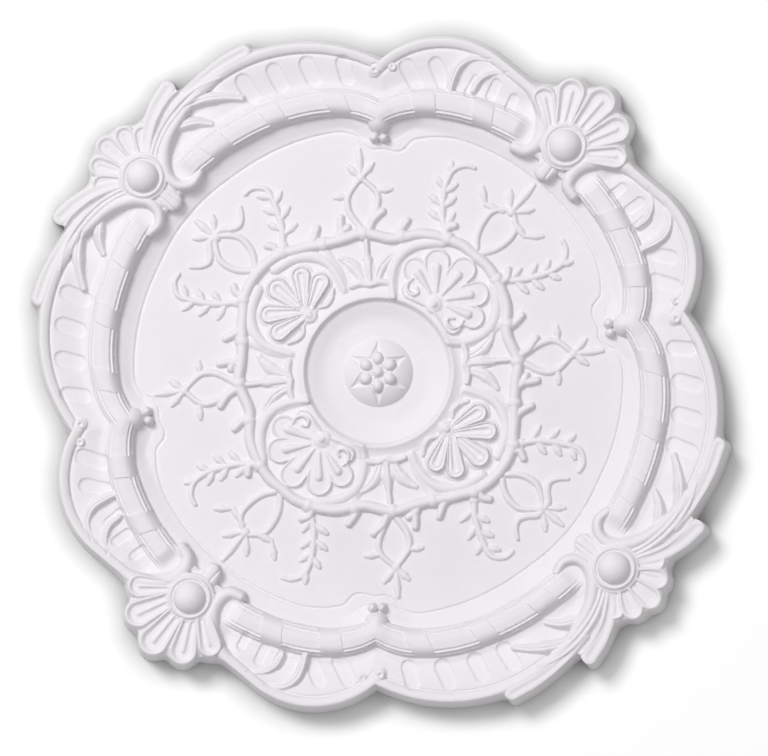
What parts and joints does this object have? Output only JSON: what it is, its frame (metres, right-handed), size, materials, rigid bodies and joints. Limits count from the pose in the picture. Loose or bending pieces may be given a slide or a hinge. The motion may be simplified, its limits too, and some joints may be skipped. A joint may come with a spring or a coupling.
{
  "type": "ceiling rose",
  "caption": "Lobed rococo ceiling rose cast in one piece, with pearled shells, scrolled rim and a central dish; its flat back fixes to a ceiling.",
  "frame": {"origin": "middle of the flat back, where the rose meets the ceiling", "axes": "+Z out of the face, away from the ceiling; +X through a fan shell, +Y through a leaf shell"},
  "size_m": [0.7, 0.702, 0.046],
  "materials": {
    "white_primer": "matte white primer"
  },
  "bodies": {
    "root": {"ceiling_rose": "white_primer"}
  },
  "joints": []
}
